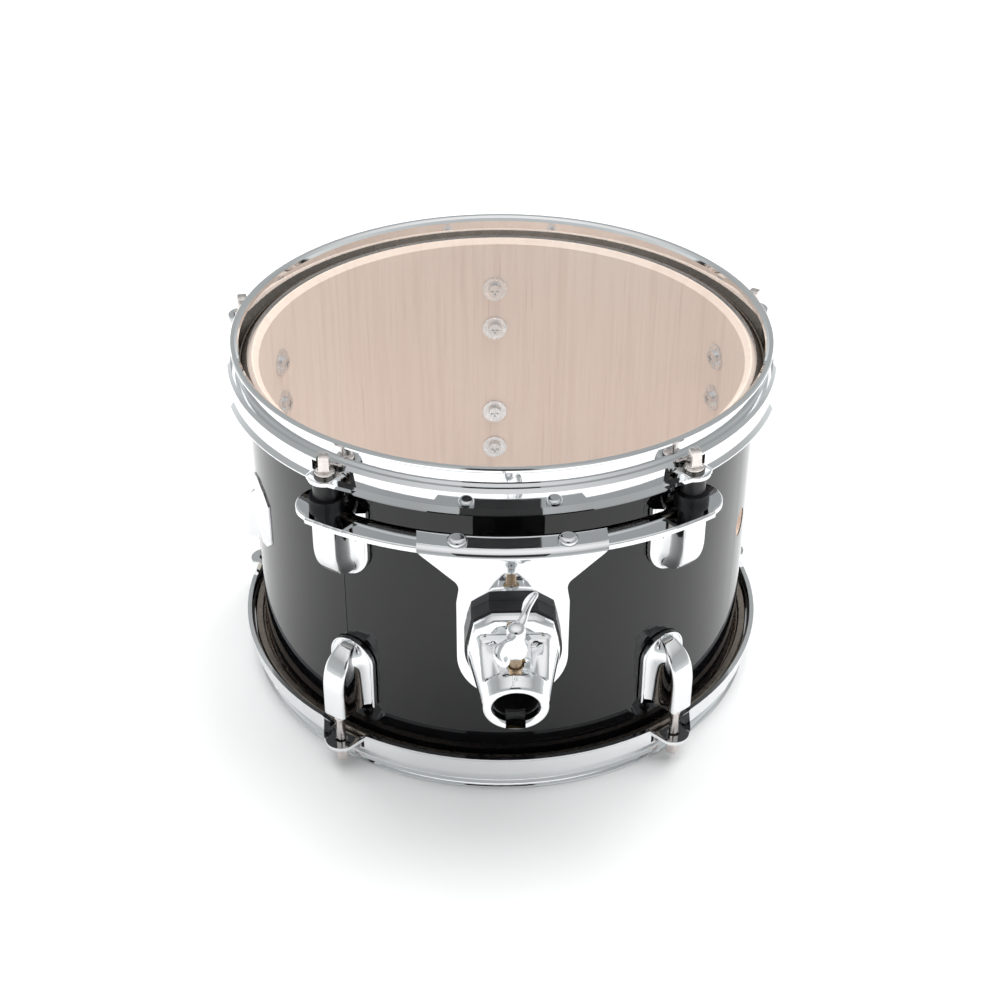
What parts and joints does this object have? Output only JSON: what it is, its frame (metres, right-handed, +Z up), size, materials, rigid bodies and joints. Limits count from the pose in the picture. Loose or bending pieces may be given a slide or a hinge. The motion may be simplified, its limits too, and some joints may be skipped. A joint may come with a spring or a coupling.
{
  "type": "tom tom drum",
  "caption": "Suspended rack tom: wrapped wooden shell with two clear heads, chrome hoops tensioned by square-head rods, and a hoop-hung plate whose receiver clamps a tom arm.",
  "frame": {"origin": "on the drum axis, in the plane of the bottom hoop lip that the drum stands on", "axes": "+Z up along the drum axis to the batter head, -Y to the front where the arm receiver is, +X to the right seen from the front"},
  "size_m": [0.2812, 0.3572, 0.185],
  "materials": {
    "badge_silver": "satin with polished border",
    "band_chrome": "polished",
    "band_screw_chrome": "polished",
    "bracket_chrome": "polished casting",
    "bracket_gasket_black": "satin",
    "clear_film": "clear polyester film",
    "gasket_black": "matte",
    "gloss_black_wrap": "gloss",
    "grommet_rubber": "satin",
    "head_hoop_steel": "satin",
    "hoop_chrome": "polished",
    "lug_chrome": "polished casting",
    "maple_shell": "pale unlacquered plywood",
    "nut_steel": "plated",
    "plate_chrome": "polished",
    "rod_steel": "plated",
    "screw_steel": "bright zinc",
    "shoe_brass": "plain",
    "sleeve_black": "satin",
    "stud_brass": "plated thread",
    "washer_steel": "plated",
    "wing_chrome": "polished casting",
    "zinc_washer": "bright zinc"
  },
  "bodies": {
    "drum": {"shell": "maple_shell", "shell_wrap": "gloss_black_wrap", "badge": "badge_silver", "top_head_film": "clear_film", "bottom_head_film": "clear_film", "lug_gaskets": "gasket_black", "top_swivel_nuts": "nut_steel", "bottom_swivel_nuts": "nut_steel", "top_lug_washers": "zinc_washer", "bottom_lug_washers": "zinc_washer", "top_lug_screws": "screw_steel", "bottom_lug_screws": "screw_steel", "top_lug_1": "lug_chrome", "top_lug_2": "lug_chrome", "top_lug_3": "lug_chrome", "top_lug_4": "lug_chrome", "top_lug_5": "lug_chrome", "bottom_lug_1": "lug_chrome", "bottom_lug_2": "lug_chrome", "bottom_lug_3": "lug_chrome", "bottom_lug_4": "lug_chrome", "bottom_lug_5": "lug_chrome"},
    "top_hoop_group": {"top_hoop": "hoop_chrome", "top_head_hoop": "head_hoop_steel", "top_rod_washers": "washer_steel", "grommet_left": "grommet_rubber", "grommet_right": "grommet_rubber", "suspension_band": "band_chrome", "mount_plate": "plate_chrome", "band_screws": "band_screw_chrome", "band_nuts": "nut_steel", "bracket_gasket": "bracket_gasket_black", "bracket_body": "bracket_chrome", "bracket_sleeve": "sleeve_black", "bracket_bolts": "nut_steel"},
    "bottom_hoop_group": {"bottom_hoop": "hoop_chrome", "bottom_head_hoop": "head_hoop_steel", "bottom_rod_washers": "washer_steel"},
    "clamp": {"clamp_shoe": "shoe_brass"},
    "wing_screw": {"wing_stud": "stud_brass", "wing_handle": "wing_chrome"},
    "top_tension_rod_1": {"top_rod_1": "rod_steel"},
    "top_tension_rod_2": {"top_rod_2": "rod_steel"},
    "top_tension_rod_3": {"top_rod_3": "rod_steel"},
    "top_tension_rod_4": {"top_rod_4": "rod_steel"},
    "top_tension_rod_5": {"top_rod_5": "rod_steel"},
    "bottom_tension_rod_1": {"bottom_rod_1": "rod_steel"},
    "bottom_tension_rod_2": {"bottom_rod_2": "rod_steel"},
    "bottom_tension_rod_3": {"bottom_rod_3": "rod_steel"},
    "bottom_tension_rod_4": {"bottom_rod_4": "rod_steel"},
    "bottom_tension_rod_5": {"bottom_rod_5": "rod_steel"}
  },
  "joints": [
    {"name": "top_hoop_slide", "type": "slide", "parent": "drum", "child": "top_hoop_group", "axis": [0, 0, 1], "range_m": [-0.00106, 0.00106]},
    {"name": "bottom_hoop_slide", "type": "slide", "parent": "drum", "child": "bottom_hoop_group", "axis": [0, 0, 1], "range_m": [-0.00106, 0.00106]},
    {"name": "top_rod_1_turn", "type": "hinge", "parent": "top_hoop_group", "child": "top_tension_rod_1", "pos_m": [-0.08206, -0.11294, 0.15], "axis": [0, 0, 1], "range_deg": [-362, 362]},
    {"name": "top_rod_2_turn", "type": "hinge", "parent": "top_hoop_group", "child": "top_tension_rod_2", "pos_m": [0.08206, -0.11294, 0.15], "axis": [0, 0, 1], "range_deg": [-362, 362]},
    {"name": "top_rod_3_turn", "type": "hinge", "parent": "top_hoop_group", "child": "top_tension_rod_3", "pos_m": [0.13277, 0.04314, 0.15], "axis": [0, 0, 1], "range_deg": [-362, 362]},
    {"name": "top_rod_4_turn", "type": "hinge", "parent": "top_hoop_group", "child": "top_tension_rod_4", "pos_m": [0, 0.1396, 0.15], "axis": [0, 0, 1], "range_deg": [-362, 362]},
    {"name": "top_rod_5_turn", "type": "hinge", "parent": "top_hoop_group", "child": "top_tension_rod_5", "pos_m": [-0.13277, 0.04314, 0.15], "axis": [0, 0, 1], "range_deg": [-362, 362]},
    {"name": "bottom_rod_1_turn", "type": "hinge", "parent": "bottom_hoop_group", "child": "bottom_tension_rod_1", "pos_m": [-0.08206, -0.11294, 0.035], "axis": [0, 0, 1], "range_deg": [-362, 362]},
    {"name": "bottom_rod_2_turn", "type": "hinge", "parent": "bottom_hoop_group", "child": "bottom_tension_rod_2", "pos_m": [0.08206, -0.11294, 0.035], "axis": [0, 0, 1], "range_deg": [-362, 362]},
    {"name": "bottom_rod_3_turn", "type": "hinge", "parent": "bottom_hoop_group", "child": "bottom_tension_rod_3", "pos_m": [0.13277, 0.04314, 0.035], "axis": [0, 0, 1], "range_deg": [-362, 362]},
    {"name": "bottom_rod_4_turn", "type": "hinge", "parent": "bottom_hoop_group", "child": "bottom_tension_rod_4", "pos_m": [0, 0.1396, 0.035], "axis": [0, 0, 1], "range_deg": [-362, 362]},
    {"name": "bottom_rod_5_turn", "type": "hinge", "parent": "bottom_hoop_group", "child": "bottom_tension_rod_5", "pos_m": [-0.13277, 0.04314, 0.035], "axis": [0, 0, 1], "range_deg": [-362, 362]},
    {"name": "clamp_slide", "type": "slide", "parent": "top_hoop_group", "child": "clamp", "axis": [0, 0.1908, -0.9816], "range_m": [0, 0.0015]},
    {"name": "wing_turn", "type": "hinge", "parent": "clamp", "child": "wing_screw", "pos_m": [0, -0.18428, 0.10888], "axis": [0, 0.1908, -0.9816], "range_deg": [0, 542]}
  ],
  "couplings": [
    {"joint": "top_rod_1_turn", "follows": "top_hoop_slide", "rad_per_m": 5938.7},
    {"joint": "top_rod_2_turn", "follows": "top_hoop_slide", "rad_per_m": 5938.7},
    {"joint": "top_rod_3_turn", "follows": "top_hoop_slide", "rad_per_m": 5938.7},
    {"joint": "top_rod_4_turn", "follows": "top_hoop_slide", "rad_per_m": 5938.7},
    {"joint": "top_rod_5_turn", "follows": "top_hoop_slide", "rad_per_m": 5938.7},
    {"joint": "bottom_rod_1_turn", "follows": "bottom_hoop_slide", "rad_per_m": 5938.7},
    {"joint": "bottom_rod_2_turn", "follows": "bottom_hoop_slide", "rad_per_m": 5938.7},
    {"joint": "bottom_rod_3_turn", "follows": "bottom_hoop_slide", "rad_per_m": 5938.7},
    {"joint": "bottom_rod_4_turn", "follows": "bottom_hoop_slide", "rad_per_m": 5938.7},
    {"joint": "bottom_rod_5_turn", "follows": "bottom_hoop_slide", "rad_per_m": 5938.7},
    {"joint": "wing_turn", "follows": "clamp_slide", "rad_per_m": 6283.2}
  ]
}
